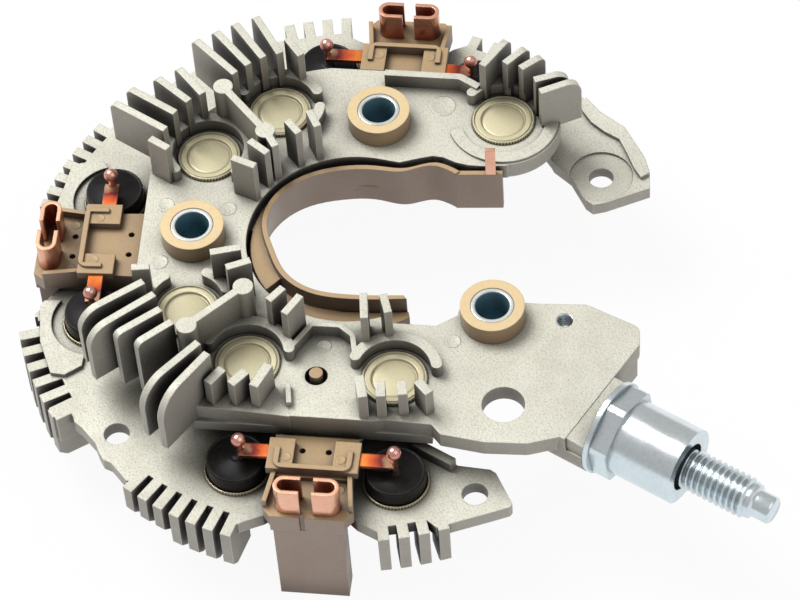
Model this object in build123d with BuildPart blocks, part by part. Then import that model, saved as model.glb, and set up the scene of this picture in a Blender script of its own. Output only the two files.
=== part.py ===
from build123d import *
from math import asin, cos, degrees, radians, sin
import os

# Alternator rectifier: two die-cast heat sinks stacked one above the other on a moulded
# terminal carrier. The lower one carries the negative press-fit diodes, the upper one the
# positive diodes and the output stud.
# Millimetres. Z is the shaft axis, and z = 0 is the underside of the lower heat sink.

# Levels
LOWER_T = 3.0
PLATE_GAP = 6.7
UPPER_T = 3.7
BUSH_RISE = 4.1
FIN_RISE = 10.3
RIM_RISE = 2.9
SKIRT_DROP = 2.4
UPPER_Z = LOWER_T + PLATE_GAP
UPPER_TOP = UPPER_Z + UPPER_T
FIN_TOP = UPPER_TOP + FIN_RISE
SLEEVE_TOP = UPPER_TOP + BUSH_RISE

# Diodes, as (radius, angle) about the shaft axis
DIODE_R = 6.4
DISC_RISE = 0.7
UPPER_DIODES = {"a": (41.6, 40.1), "b": (35.7, 110.4), "c": (35.7, 139.2),
                "d": (35.7, 205.2), "e": (35.7, 233.4), "f": (35.7, 280.2)}
LOWER_DIODES = {"a": (51.8, 58.1), "b": (51.8, 92.6), "c": (51.8, 154.4),
                "d": (51.8, 188.7), "e": (51.8, 241.6), "f": (51.8, 275.7)}
RESIN_R = 5.9
RESIN_TOP_R = 5.2
RESIN_RISE = 4.0
LEAD_R = 0.65
LEAD_LEAN = 0.9
BALL_R = 1.4
BALL_Z = 12.4

# Mounting sleeves, as (radius, angle)
SLEEVES = {"1": (29.7, 76.0), "2": (30.85, 174.4), "3": (34.3, -41.0)}
SLEEVE_BORE_R = 3.25
SLEEVE_R = 4.2
BUSH_R = 6.2
SPIGOT_R = 5.2

# Upper heat sink
UPPER_R = 44.5
UPPER_BORE_R = 20.6
FLANK_REACH = 43.5
LEFT_FLANK_REACH = 41.2
END_R = 11.4
FIN_T = 1.5
FRONT_FIN_RISE = 6.6
FRONT_FIN_T = 1.8
GUARD_RISE = 3.4
LOW_WALL_T = 1.0
COLLAR_RISE = 0.5
RIM_IN = 7.1
RIM_T = 2.1
POST_R = 1.95
BIG_HOLE_R = 4.1
BIG_HOLE = (26.3, -43.0)
TAPPED_R = 1.65
TAPPED_HOLE = (39.5, -24.3)
PIN_HOLE_R = 2.2
PIN_R = 1.3
PIN_SPOT = (-8.4, -32.9)

# Lower heat sink
LOWER_R = 63.4
LOWER_BORE_R = 24.0
LOWER_FIN_ROOT = 58.5
LOWER_FIN_T = 2.1
LOWER_FIN_DROP = 10.0
LOWER_FIN_NOSE = 1.6
PAD_RISE = 0.9
POCKET_R = 8.6
SPOTFACE_R = 6.4
SPOTFACE = 0.5
EAR_HOLE_R = 2.5
EARS = {"1": (50.6, 19.2), "2": (-47.4, -35.2), "3": (19.7, -55.6)}

# Output stud, square to a face at an angle to the frame
STUD_ANGLE = -38.0
STUD_SIDE = -9.4
STUD_Z = 10.2
STUD_R = 4.0
CORE_R = 3.6
SHANK_R = 2.6
BOSS_BACK = 53.0
BOSS_EDGE = 61.2
BOSS_FACE = 65.2
BOSS_R = 9.4
BOSS_WEB = 9.0
BOSS_SHOULDER = 2.6
WASHER_R = 9.3
WASHER_T = 1.0
HEX_AF = 16.0
HEX_H = 3.6
HEX_TURN = 40.0
COLLAR_R = 7.5
COLLAR_L = 12.8
COLLAR_RECESS_R = 4.8
COLLAR_RECESS = 3.0
THREAD_L = 14.6
DOG_R = 2.7
DOG_L = 4.0

# Terminal blocks: direction of each, how far it lies to one side, and where it starts
BLOCKS = {"top": (80.0, -4.6, 43.0), "left": (172.5, -0.8, 40.7), "bottom": (260.0, -1.2, 44.5)}
PAIRS = {"a": ("top", -1), "b": ("top", 1), "c": ("left", -1), "d": ("left", 1),
         "e": ("bottom", -1), "f": ("bottom", 1)}
BLOCK_OUT = 62.5
BLOCK_HALF = 8.0
BLOCK_WAIST = 7.5
BLOCK_TIP_HALF = 7.0
BLOCK_H = 5.5
STEP_AT = 54.0
STEP_DROP = 1.0
WING_IN = 52.5
WING_OUT = 60.4
WING_HALF = 8.6
WING_T = 0.9
WING_LOW = 1.5
WING_RISE = 1.8
ARM_HALF = 6.0
ARM_T = 1.9
TRAY_IN = 46.4
TRAY_OUT = 53.5
TRAY_HALF = 8.7
TRAY_H = 1.7
PAD_HALF = 3.8
LIP_IN = 48.8
LIP_HALF = 7.4
LIP_T = 1.0
LIP_RISE = 0.6
LEG_HALF = 6.6
LEG_IN = 57.5
LEG_OUT = 62.1
LEG_DROP = 18.4
NOTCH_CLEAR = 0.5
DECK_HOLE_R = 0.6
GROOVE_W = 1.0
GROOVE_SIDE = -0.9
STRIP_T = 0.8
STRIP_W = 3.0
STRIP_SIDE = 3.5
STRIP_RISE = 1.2
PHASE_TAB_W = 2.9
PHASE_TAB_RISE = 5.9
HOOK_IN = 57.6
HOOK_OUT = 61.7
HOOK_NEAR = 1.2
HOOK_FAR = 6.2
HOOK_TOP = 14.0
BOSS_WALL = 1.8
RING_T = 1.05
RING_LOW = 2.6
RING_LIP = 13.2
LEDGE_R = 20.2
LEDGE_H = 2.4
HIGH_LEDGE_R = 19.8
SENSE_TAB_RISE = 7.2
END_BLOCK_LOW = 2.6

os.makedirs("parts", exist_ok=True)


def polar(radius, angle):
    return (radius * cos(radians(angle)), radius * sin(radians(angle)))


def turned(radius, side, angle, z=0):
    """A point given along and across a direction that lies at an angle in plan."""
    c, s = cos(radians(angle)), sin(radians(angle))
    return (radius * c - side * s, radius * s + side * c, z)


def block_plane(angle, side, z=0):
    """Plane of a terminal block: x points outwards, y runs round the shaft."""
    return Plane(origin=turned(0, side, angle, z), x_dir=turned(1, 0, angle), z_dir=(0, 0, 1))


def block_spot(name, spot):
    """Where a point given as (radius, angle) lies in the frame of a terminal block."""
    angle, side, start = BLOCKS[name]
    x, y = polar(spot[0], spot[1] - angle)
    return (x, y - side)


def stud_plane(distance):
    """Plane square to the output stud: x runs across it and y is up."""
    origin = turned(distance, STUD_SIDE, STUD_ANGLE, STUD_Z)
    return Plane(origin=origin, x_dir=turned(0, 1, STUD_ANGLE), z_dir=turned(1, 0, STUD_ANGLE))


def stud_side_plane():
    """Upright plane through the axis of the output stud: x runs along it and y is up."""
    origin = turned(0, STUD_SIDE, STUD_ANGLE)
    return Plane(origin=origin, x_dir=turned(1, 0, STUD_ANGLE), z_dir=turned(0, -1, STUD_ANGLE))


def fin_plane(root, tip, low):
    """Upright plane of a fin: x runs from its root to its tip and y is up from its foot."""
    a, b = Vector(*polar(*root)), Vector(*polar(*tip))
    run = (b - a).normalized()
    return Plane(origin=(a.X, a.Y, low), x_dir=run, z_dir=(run.Y, -run.X, 0))


def lead_spot(key):
    """Where the wire of a lower diode stands, in the frame of its terminal block."""
    name, hand = PAIRS[key]
    x, y = block_spot(name, LOWER_DIODES[key])
    return (x, y + LEAD_LEAN) if hand < 0 else (x, y)


def finish(piece, label):
    piece.part.label = label
    export_step(piece.part, f"parts/{label}.step")


def arc_wall(center, r_in, r_out, start, end):
    """A wall round a diode, from one angle to another, with round ends."""
    with BuildLine() as wall:
        outer = CenterArc(center, r_out, start, end - start)
        inner = CenterArc(center, r_in, start, end - start)
        Line(outer @ 0, inner @ 0)
        Line(outer @ 1, inner @ 1)
    make_face(wall.edges())
    mid = (r_in + r_out) / 2
    ends = [tuple(Vector(*center) + Vector(*polar(mid, a))) for a in (start, end)]
    with Locations(*ends):
        Circle((r_out - r_in) / 2)


def fin(start, end, thickness):
    """The plan of a straight fin between two points given as (radius, angle)."""
    a, b = Vector(*polar(*start)), Vector(*polar(*end))
    run = b - a
    angle = degrees(asin(run.Y / run.length))
    if run.X < 0:
        angle = 180 - angle
    with Locations(Location(tuple((a + b) / 2), angle)):
        Rectangle(run.length, thickness)


# Upper heat sink
# Each outer fin: its tip and its root as (radius, angle), the rounding of its top corner, and
# how far its foot lies under the top of the plate
OUTER_FINS = [((54.9, 145.5), (41.6, 146.9), 1.5, 0.5), ((54.3, 140.7), (42.4, 140.7), 1.5, 0.5),
              ((51.9, 134.8), (42.2, 135.4), 1.5, 0.5), ((50.6, 129.5), (41.5, 131.1), 1.5, 0.5),
              ((54.3, 121.8), (41.5, 119.9), 1.5, 0.5), ((54.0, 117.0), (42.0, 115.3), 1.5, 0.5),
              ((54.0, 112.4), (42.3, 110.7), 1.5, 0.5), ((53.9, 107.6), (42.0, 106.0), 1.5, 0.5),
              ((56.9, 202.7), (42.6, 200.6), 4.5, 3.7), ((57.3, 207.4), (42.0, 205.7), 4.5, 3.7),
              ((53.0, 210.8), (42.8, 210.8), 1.5, 4.7), ((51.1, 215.5), (42.8, 216.0), 1.5, 4.7),
              ((57.8, 224.7), (42.7, 225.7), 6, 3.7), ((58.0, 229.4), (43.6, 229.7), 6, 3.7),
              ((52.2, 49.4), (43.4, 49.3), 1.5, 0.5), ((52.8, 44.6), (46.6, 45.2), 1.5, 0.5),
              ((53.2, 40.3), (47.7, 41.3), 1.5, 0.5), ((54.1, 33.2), (47.5, 36.3), 3, 0.7),
              ((54.7, 30.2), (46.4, 32.5), 3, 0.7)]
INNER_FINS = [((45.3, 102.7), (40.1, 100.6)), ((43.2, 151.4), (38.7, 152.7)),
              ((26.1, 147.2), (21.0, 146.8)), ((25.9, 135.5), (21.0, 135.9)),
              ((25.5, 126.8), (21.0, 129.8)), ((25.1, 115.7), (21.0, 114.6)),
              ((25.5, 104.6), (21.0, 103.7)), ((43.6, 195.1), (40.3, 196.5)),
              ((28.5, 198.8), (22.8, 201.9)), ((27.4, 208.7), (22.7, 211.5)),
              ((27.3, 233.3), (23.3, 234.9)), ((28.7, 242.0), (23.6, 244.3)),
              ((28.0, 273.1), (22.0, 274.4)), ((27.7, 282.7), (23.2, 283.4)),
              ((40.1, 125.3), (25.5, 126.8)), ((41.4, 219.5), (27.7, 220.8))]
FRONT_FINS = [((43.6, 270.2), (38.6, 269.6)), ((43.9, 274.6), (40.4, 275.2)),
              ((44.4, 279.9), (41.2, 280.6)), ((45.6, 286.0), (42.1, 284.6)),
              ((47.1, 232.6), (42.9, 233.2)), ((45.2, 237.5), (41.3, 238.9)),
              ((43.9, 242.8), (38.2, 243.6))]
POSTS = [(40.1, 125.3), (25.5, 126.8), (41.4, 219.5), (27.7, 220.8)]
RIMS = {"a": [(50, 135)], "b": [(20, 150), (-40, -10)], "c": [(-50, 215)],
        "d": [(20, 60), (120, 170)], "e": [(5, 150)], "f": [(5, 150)]}
ZIGZAG = [(-13.1, -28), (-8.6, -22.6), (-3.3, -23.5), (-1, -26), (-0.8, -30.8)]

with BuildPart() as positive_heat_sink:
    with BuildSketch(Plane.XY.offset(UPPER_Z)):
        Circle(UPPER_R)
        Circle(UPPER_BORE_R, mode=Mode.SUBTRACT)
        for angle, reach in ((80, FLANK_REACH), (172.5, LEFT_FLANK_REACH), (260, FLANK_REACH)):
            with Locations(Location(turned(reach + UPPER_R / 2, 0, angle), angle)):
                Rectangle(UPPER_R, 2 * UPPER_R, mode=Mode.SUBTRACT)
        with BuildLine():
            Polyline((0, 0), polar(60, -74), (70, -60), (70, 45), polar(60, 40), close=True)
        make_face(mode=Mode.SUBTRACT)
        with Locations(polar(*UPPER_DIODES["a"])):
            Circle(END_R)
        with BuildLine():
            Polyline((17, 18), (27, 14.5), (31.8, 14), (31.8, 26.8), (24, 30), close=True)
        make_face()
        with BuildLine():
            Polyline((-31.2, -37.8), (-32.5, -36.4), (-31, -32), (-18, -34), (-10, -40),
                     (-14, -41.9), (-17.5, -41), close=True)
        make_face()
        with BuildLine():
            Polyline((0, 0), (6, 19.7), (10.5, 18.2), (14.6, 18.9), (17.2, 19.2), (19.3, 18.6),
                     (21.5, 17.1), (24, 16.1), (27, 15.5), (31.8, 15.2), (31.8, 0), close=True)
        make_face(mode=Mode.SUBTRACT)
        with BuildSketch(Plane.XY.offset(UPPER_Z), mode=Mode.PRIVATE) as lobe:
            with BuildLine():
                Polyline((2, -20.4), (7, -21.8), (15, -23.2), (19.5, -21), (28, -18.5),
                         (35, -19.8), (44, -20.9), (53.6, -27.4), (53.1, -31.6), (37.7, -51.2),
                         (30, -52.4), (22, -51.3), (14, -48.7), (12.5, -46.3), (2, -44), close=True)
            make_face()
            fillet(lobe.vertices().filter_by_position(Axis.X, 19, 60), 2.2)
        add(lobe.sketch)
        with Locations(polar(*SLEEVES["3"])):
            Circle(BUSH_R + 0.6)
    extrude(amount=UPPER_T)

    # Stiffening skirt along the front flank
    with BuildSketch(Plane.XY.offset(UPPER_Z - SKIRT_DROP)):
        with Locations(Location(turned(FLANK_REACH - 1.2, -2.3, 260), 260)):
            Rectangle(2.4, 45.4)
    extrude(amount=SKIRT_DROP)

    # Stud boss, flush with the top of the plate, and the wall that carries it
    with BuildSketch(stud_plane(BOSS_BACK + 4)):
        Circle(BOSS_R)
    extrude(amount=BOSS_FACE - BOSS_BACK - 4)
    with Locations(stud_plane(BOSS_BACK)):
        Cone(STUD_R + 1.5, BOSS_R, 4, align=(Align.CENTER, Align.CENTER, Align.MIN))
    with BuildSketch(Plane.XY.offset(UPPER_TOP - BOSS_WEB)):
        with Locations(Location(turned(BOSS_EDGE - 1.5, -4.2, STUD_ANGLE), STUD_ANGLE)):
            Rectangle(3, 22.8)
    extrude(amount=BOSS_WEB)
    with BuildSketch(Plane.XY.offset(UPPER_TOP)):
        with Locations(Location(turned(BOSS_FACE, STUD_SIDE, STUD_ANGLE), STUD_ANGLE)):
            Rectangle(30, 24)
    extrude(amount=BOSS_R, mode=Mode.SUBTRACT)
    with BuildSketch(stud_side_plane()):
        with BuildLine():
            Polyline((BOSS_EDGE, UPPER_TOP), (BOSS_EDGE + 0.6, UPPER_TOP - BOSS_SHOULDER),
                     (BOSS_FACE + 1, UPPER_TOP - BOSS_SHOULDER), (BOSS_FACE + 1, UPPER_TOP + 1),
                     (BOSS_EDGE, UPPER_TOP + 1), close=True)
        make_face()
    extrude(amount=2 * BOSS_R, both=True, mode=Mode.SUBTRACT)

    # Walls round the diodes, low walls, fins, posts and their ribs
    with BuildSketch(Plane.XY.offset(UPPER_TOP)):
        for key, spans in RIMS.items():
            for start, end in spans:
                arc_wall(polar(*UPPER_DIODES[key]), RIM_IN, RIM_IN + RIM_T, start, end)
        with BuildLine() as zigzag:
            FilletPolyline(*ZIGZAG, radius=1)
        trace(zigzag.line, LOW_WALL_T)
    extrude(amount=RIM_RISE)
    with BuildSketch(Plane.XY.offset(UPPER_TOP)):
        arc_wall(polar(*UPPER_DIODES["a"]), 8.4, END_R - 0.4, 195, 385)
    extrude(amount=COLLAR_RISE)
    with BuildSketch(Plane.XY.offset(UPPER_TOP)):
        with Locations((-13.8, -37.4)):
            Rectangle(LOW_WALL_T, 4.6)
    extrude(amount=RIM_RISE / 2)
    with BuildSketch(Plane.XY.offset(UPPER_TOP)):
        with BuildLine() as guard:
            FilletPolyline((9, 39.2), (24, 36.5), (27.5, 33.5), radius=1.5)
        trace(guard.line, FIN_T)
    extrude(amount=GUARD_RISE)
    for tip, root, nose, sunk in OUTER_FINS:
        length = (Vector(*polar(*tip)) - Vector(*polar(*root))).length
        with BuildSketch(fin_plane(root, tip, UPPER_TOP - sunk)):
            height = FIN_RISE + sunk
            Rectangle(length - nose, height, align=(Align.MIN, Align.MIN))
            Rectangle(length, height - nose, align=(Align.MIN, Align.MIN))
            with Locations((length - nose, height - nose)):
                Circle(nose)
        extrude(amount=FIN_T / 2, both=True)
    with BuildSketch(Plane.XY.offset(UPPER_Z)):
        for start, end in INNER_FINS:
            fin(start, end, FIN_T)
        with Locations(*[polar(*spot) for spot in POSTS]):
            Circle(POST_R)
    extrude(amount=FIN_TOP - UPPER_Z)
    with BuildSketch(Plane.XY.offset(UPPER_Z)):
        for start, end in FRONT_FINS:
            fin(start, end, FRONT_FIN_T)
    extrude(amount=UPPER_T + FRONT_FIN_RISE)

    # Bores
    with BuildSketch(Plane.XY.offset(UPPER_Z - SKIRT_DROP)):
        with Locations(*[polar(*spot) for spot in UPPER_DIODES.values()]):
            Circle(DIODE_R)
        with Locations(*[polar(*spot) for spot in SLEEVES.values()]):
            Circle(SPIGOT_R)
        with Locations(BIG_HOLE):
            Circle(BIG_HOLE_R)
        with Locations(TAPPED_HOLE):
            Circle(TAPPED_R)
        with Locations(PIN_SPOT):
            Circle(PIN_HOLE_R)
    extrude(amount=UPPER_T + SKIRT_DROP + RIM_RISE, mode=Mode.SUBTRACT)
    with BuildSketch(stud_plane(BOSS_BACK + 1)):
        Circle(SHANK_R)
    extrude(amount=BOSS_FACE - BOSS_BACK - 1, mode=Mode.SUBTRACT)
finish(positive_heat_sink, "positive_heat_sink")


# Lower heat sink
# Each group of rim fins: angle of the first, pitch, how many, radius of the tips, and how far
# they reach below the plate
RIM_FINS = [(59.9, 4.2, 2, 65.7, 10), (88.4, 3.4, 4, 67.3, 10), (139.8, 3.2, 7, 66.2, 10),
            (184.9, 3.5, 1, 62.8, 10), (188.4, 3.5, 6, 66.9, 10), (226.6, 3.15, 3, 66.5, 5.2),
            (236.1, 3.15, 4, 66.5, 7.8), (271.8, 3.4, 4, 64.5, 8.5)]
# Where the rim is cut back between them: from one angle to another, down to a radius
RIM_CUTS = [(59.9, 64.1, 62.4), (88.4, 98.6, 63), (139.8, 159, 62.6), (184.9, 205.9, 61.5),
            (226.6, 245.5, 61.5), (271.8, 282, 61.4)]
# Outline of the recess in the rim at each leg, along and across the terminal block
LEG_RECESS = [(58, 7.2), (59.4, 8.8), (61.2, 12.6), (64.5, 17), (80, 17), (80, -17), (64.5, -17),
              (61.2, -12.6), (59.4, -8.8), (58, -7.2)]
# Raised pads round two of the diodes, and the raised edge beside the first ear
PADS = [[(-53.4, -13), (-53.4, -16), (-53.9, -18.8), (-57.3, -20.7), (-60, -20), (-62, -12),
         (-62, -2), (-48, -3), (-44, -8)],
        [(-55.5, 32.2), (-53.4, 32.6), (-49.2, 32.7), (-48, 30.5), (-40, 24), (-44, 16),
         (-60.4, 17.5), (-57, 27)],
        [(48, 38.4), (48.5, 36), (49.9, 33), (52.3, 30.2), (55.1, 27.9), (56.2, 24.3),
         (57.3, 20), (58.4, 17.5), (60.3, 18.6), (59.7, 22.6), (56.5, 30.9), (52, 35.5),
         (49.5, 39.6)]]

with BuildPart() as negative_heat_sink:
    with BuildSketch():
        with BuildLine():
            Polyline((0, 0), polar(90, 30), polar(90, 90), polar(90, 180), polar(90, 250),
                     polar(90, 283), close=True)
        make_face()
        Circle(LOWER_R, mode=Mode.INTERSECT)
        Circle(LOWER_BORE_R, mode=Mode.SUBTRACT)
        with BuildLine():
            Polyline((0, 0), (9, 23), (24, 20.5), (30, 24), (36, 26.5), (40, 27), (41.5, 24),
                     (60, 0), close=True)
        make_face(mode=Mode.SUBTRACT)
        for start, end, root in RIM_CUTS:
            with BuildLine():
                ThreePointArc(polar(root, start), polar(root, (start + end) / 2), polar(root, end))
                Polyline(polar(root, end), polar(2 * root, end), polar(2 * root, start),
                         polar(root, start))
            make_face(mode=Mode.SUBTRACT)
        with BuildLine():
            Polyline((40, 28), (41.5, 23.6), (44.7, 19.8), (47, 13.4), (48.3, 12), (50.7, 12.3),
                     (60, 15.2), (60.3, 18.6), (59.7, 22.6), (56.5, 30.9), (52, 35), (36, 34),
                     close=True)
        make_face()
        with BuildLine():
            Polyline((8, -42), (14, -46.5), (17, -48.8), (23, -50.3), (24, -51.2), (26.5, -58.5),
                     (26, -59.2), (22, -60.2), (12, -62.5), (6, -56), close=True)
        make_face()
        with BuildLine():
            Polyline((-52, -25), (-55.9, -29.3), (-55.5, -31.6), (-54.5, -32.6), (-52.6, -34.9),
                     (-51.7, -36.4), (-50.9, -39.1), (-50.1, -41), (-48.6, -41.9), (-45.7, -46.4),
                     (-44, -46), (-40, -40), close=True)
        make_face()
        for angle, side, start in BLOCKS.values():
            x = LEG_IN - NOTCH_CLEAR
            with Locations(Location(turned((x + LOWER_R + 5) / 2, side, angle), angle)):
                Rectangle(LOWER_R + 5 - x, 2 * (LEG_HALF + NOTCH_CLEAR), mode=Mode.SUBTRACT)
            with BuildLine():
                Polyline(*[turned(x, side + y, angle)[:2] for x, y in LEG_RECESS], close=True)
            make_face(mode=Mode.SUBTRACT)
    extrude(amount=LOWER_T)
    for first, pitch, count, tip, drop in RIM_FINS:
        for i in range(count):
            angle = first + i * pitch
            with BuildSketch(fin_plane((LOWER_FIN_ROOT, angle), (tip, angle), -drop)):
                length = tip - LOWER_FIN_ROOT
                height = LOWER_T + drop
                nose = LOWER_FIN_NOSE
                with BuildLine():
                    Polyline((0, 0), (length - nose, 0), (length, nose), (length, height),
                             (0, height), close=True)
                make_face()
            extrude(amount=LOWER_FIN_T / 2, both=True)
    with BuildSketch(Plane.XY.offset(-4)):
        fin((60, 206.2), (66.5, 206.2), 3.4)
    extrude(amount=LOWER_T + 4)
    with BuildSketch(Plane.XY.offset(LOWER_T)):
        for outline in PADS:
            with BuildLine():
                Polyline(*outline, close=True)
            make_face()
        with Locations(polar(*LOWER_DIODES["c"]), polar(*LOWER_DIODES["d"])):
            Circle(POCKET_R, mode=Mode.SUBTRACT)
        angle, side, start = BLOCKS["left"]
        with Locations(Location(turned((start + BLOCK_OUT) / 2, side, angle), angle)):
            Rectangle(2 * BLOCK_OUT, 2 * TRAY_HALF, mode=Mode.SUBTRACT)
        with BuildLine():
            Polyline(*[turned(x, side + y, angle)[:2] for x, y in LEG_RECESS], close=True)
        make_face(mode=Mode.SUBTRACT)
    extrude(amount=PAD_RISE)
    with BuildSketch(Plane.XY.offset(LOWER_T)):
        fin((45, 281.5), (52.1, 288), 1.8)
    extrude(amount=2.5)
    with BuildSketch(Plane.XY.offset(LOWER_T - SPOTFACE)):
        with Locations(EARS["1"]):
            Circle(SPOTFACE_R)
    extrude(amount=SPOTFACE, mode=Mode.SUBTRACT)
    with BuildSketch(Plane.XY.offset(-LOWER_FIN_DROP)):
        with Locations(*[polar(*spot) for spot in LOWER_DIODES.values()]):
            Circle(DIODE_R)
        with Locations(polar(*SLEEVES["1"]), polar(*SLEEVES["2"])):
            Circle(SLEEVE_R)
        with Locations(*EARS.values()):
            Circle(EAR_HOLE_R)
    extrude(amount=LOWER_T + LOWER_FIN_DROP, mode=Mode.SUBTRACT)
finish(negative_heat_sink, "negative_heat_sink")

# Press-fit diodes: a cup with a filling of resin and a wire lead
for key, spot in UPPER_DIODES.items():
    x, y = polar(*spot)
    disc_top = UPPER_TOP + DISC_RISE
    cup_low = UPPER_Z - 0.5
    with BuildPart() as cup:
        with BuildSketch(Plane(origin=(x, y, 0), x_dir=(1, 0, 0), z_dir=(0, -1, 0))):
            with BuildLine():
                Polyline((0, cup_low + 1.2), (RESIN_R, cup_low + 1.2), (RESIN_R, cup_low),
                         (DIODE_R, cup_low), (DIODE_R, disc_top - 0.3), (DIODE_R - 0.5, disc_top),
                         (5.1, disc_top), (4.7, disc_top - 0.5), (0, disc_top - 0.5), close=True)
            make_face()
        revolve(axis=Axis((x, y, 0), (0, 0, 1)))
    finish(cup, f"positive_diode_{key}_cup")
    with BuildPart() as resin:
        with BuildSketch(Plane(origin=(x, y, 0), x_dir=(1, 0, 0), z_dir=(0, -1, 0))):
            with BuildLine():
                Polyline((0, cup_low + 1.2), (RESIN_R, cup_low + 1.2), (RESIN_R, cup_low - 1),
                         (RESIN_TOP_R, cup_low - 3), (0, cup_low - 3), close=True)
            make_face()
        revolve(axis=Axis((x, y, 0), (0, 0, 1)))
    finish(resin, f"positive_diode_{key}_resin")
    name, hand = PAIRS[key]
    angle, side, start = BLOCKS[name]
    strip_mid = LOWER_T + STRIP_RISE + STRIP_T / 2
    with BuildPart() as lead:
        with BuildLine() as path:
            Polyline((x, y, cup_low - 3), (x, y, strip_mid),
                     turned(start + 2, side + hand * STRIP_SIDE, angle, strip_mid))
        with BuildSketch(Plane(origin=(x, y, cup_low - 3), z_dir=(0, 0, -1))):
            Circle(LEAD_R)
        sweep(path=path.line, transition=Transition.RIGHT)
        with BuildSketch(block_plane(angle, side, LOWER_T)):
            with Locations((start + 5, 0)):
                Rectangle(10, 4 * BLOCK_HALF)
        extrude(amount=PLATE_GAP, mode=Mode.SUBTRACT)
    finish(lead, f"positive_diode_{key}_lead")

for key, spot in LOWER_DIODES.items():
    x, y = polar(*spot)
    with BuildPart() as cup:
        with BuildSketch(Plane(origin=(x, y, 0), x_dir=(1, 0, 0), z_dir=(0, -1, 0))):
            with BuildLine():
                Polyline((0, -2.2), (DIODE_R - 0.4, -2.2), (DIODE_R, -1.8), (DIODE_R, 3.3),
                         (RESIN_R, 3.3), (RESIN_R, 2), (0, 2), close=True)
            make_face()
        revolve(axis=Axis((x, y, 0), (0, 0, 1)))
    finish(cup, f"negative_diode_{key}_cup")
    with BuildPart() as resin:
        with BuildSketch(Plane(origin=(x, y, 0), x_dir=(1, 0, 0), z_dir=(0, -1, 0))):
            with BuildLine():
                Polyline((0, 2), (RESIN_R, 2), (RESIN_R, 3.6), (RESIN_TOP_R, LOWER_T + RESIN_RISE),
                         (0, LOWER_T + RESIN_RISE), close=True)
            make_face()
        revolve(axis=Axis((x, y, 0), (0, 0, 1)))
    finish(resin, f"negative_diode_{key}_resin")
    angle, side, start = BLOCKS[PAIRS[key][0]]
    across, along = lead_spot(key)
    foot = turned(across, side + along, angle)
    resin_top = LOWER_T + RESIN_RISE
    with BuildPart() as lead:
        with BuildSketch(Plane(origin=foot, x_dir=(1, 0, 0), z_dir=(0, -1, 0))):
            with BuildLine():
                Polyline((0, resin_top), (LEAD_R, resin_top), (LEAD_R, BALL_Z - 1.2),
                         (1.2, BALL_Z - 0.7), (BALL_R, BALL_Z), (1.2, BALL_Z + 0.7),
                         (0.7, BALL_Z + 1.2), (0, BALL_Z + BALL_R), close=True)
            make_face()
        revolve(axis=Axis(foot, (0, 0, 1)))
    finish(lead, f"negative_diode_{key}_lead")

# Insulating bushes and the steel sleeves that carry the mounting screws
for key, spot in SLEEVES.items():
    x, y = polar(*spot)
    spigot_low = 0.8 if key == "3" else UPPER_Z
    with BuildPart() as bush:
        with BuildSketch(Plane.XY.offset(spigot_low)):
            with Locations((x, y)):
                Circle(SPIGOT_R)
                Circle(SLEEVE_R, mode=Mode.SUBTRACT)
        extrude(amount=UPPER_TOP - spigot_low)
        with BuildSketch(Plane.XY.offset(UPPER_TOP)):
            with Locations((x, y)):
                Circle(BUSH_R)
                Circle(SLEEVE_R, mode=Mode.SUBTRACT)
        extrude(amount=BUSH_RISE)
    finish(bush, f"insulating_bush_{key}")
    with BuildPart() as sleeve:
        with BuildSketch():
            with Locations((x, y)):
                Circle(SLEEVE_R)
                Circle(SLEEVE_BORE_R, mode=Mode.SUBTRACT)
        extrude(amount=SLEEVE_TOP)
    finish(sleeve, f"mounting_sleeve_{key}")

# Phase terminals: a hook, a strip along the block and a tab out to the lead of a diode
deck = LOWER_T + BLOCK_H
strip_low = LOWER_T + STRIP_RISE
tab_low = LOWER_T + PHASE_TAB_RISE
terminals = []
for key, (name, hand) in PAIRS.items():
    angle, side, start = BLOCKS[name]
    tab_x, tab_y = lead_spot(key)
    riser = STRIP_SIDE + STRIP_W / 2 - STRIP_T
    hook_r = (HOOK_OUT - HOOK_IN) / 2
    hook_x = HOOK_IN + hook_r
    hook_y = HOOK_FAR - hook_r
    with BuildPart() as terminal:
        with BuildSketch(block_plane(angle, side, strip_low)):
            with Locations(((start + HOOK_IN + 0.5) / 2, hand * STRIP_SIDE)):
                Rectangle(HOOK_IN + 0.5 - start, STRIP_W)
        extrude(amount=STRIP_T)
        with BuildSketch(block_plane(angle, side, strip_low)):
            with Locations((tab_x, hand * (riser + STRIP_T / 2))):
                Rectangle(PHASE_TAB_W, STRIP_T)
        extrude(amount=tab_low + STRIP_T - strip_low)
        with BuildSketch(block_plane(angle, side, tab_low)):
            with Locations((tab_x, (tab_y + hand * riser) / 2)):
                Rectangle(PHASE_TAB_W, abs(tab_y) - riser)
            with Locations((tab_x, tab_y)):
                Circle(LEAD_R, mode=Mode.SUBTRACT)
        extrude(amount=STRIP_T)
        with BuildSketch(block_plane(angle, side, strip_low)):
            with Locations((hook_x, hand * (HOOK_NEAR + hook_y) / 2)):
                Rectangle(2 * hook_r, hook_y - HOOK_NEAR)
            with Locations((hook_x, hand * hook_y)):
                Circle(hook_r)
                Circle(hook_r - STRIP_T, mode=Mode.SUBTRACT)
            with Locations((hook_x, hand * (HOOK_NEAR + hook_y) / 2)):
                Rectangle(2 * (hook_r - STRIP_T), hook_y - HOOK_NEAR, mode=Mode.SUBTRACT)
        extrude(amount=HOOK_TOP - strip_low)
    finish(terminal, f"phase_terminal_{key}")
    terminals.append(terminal.part)

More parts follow.
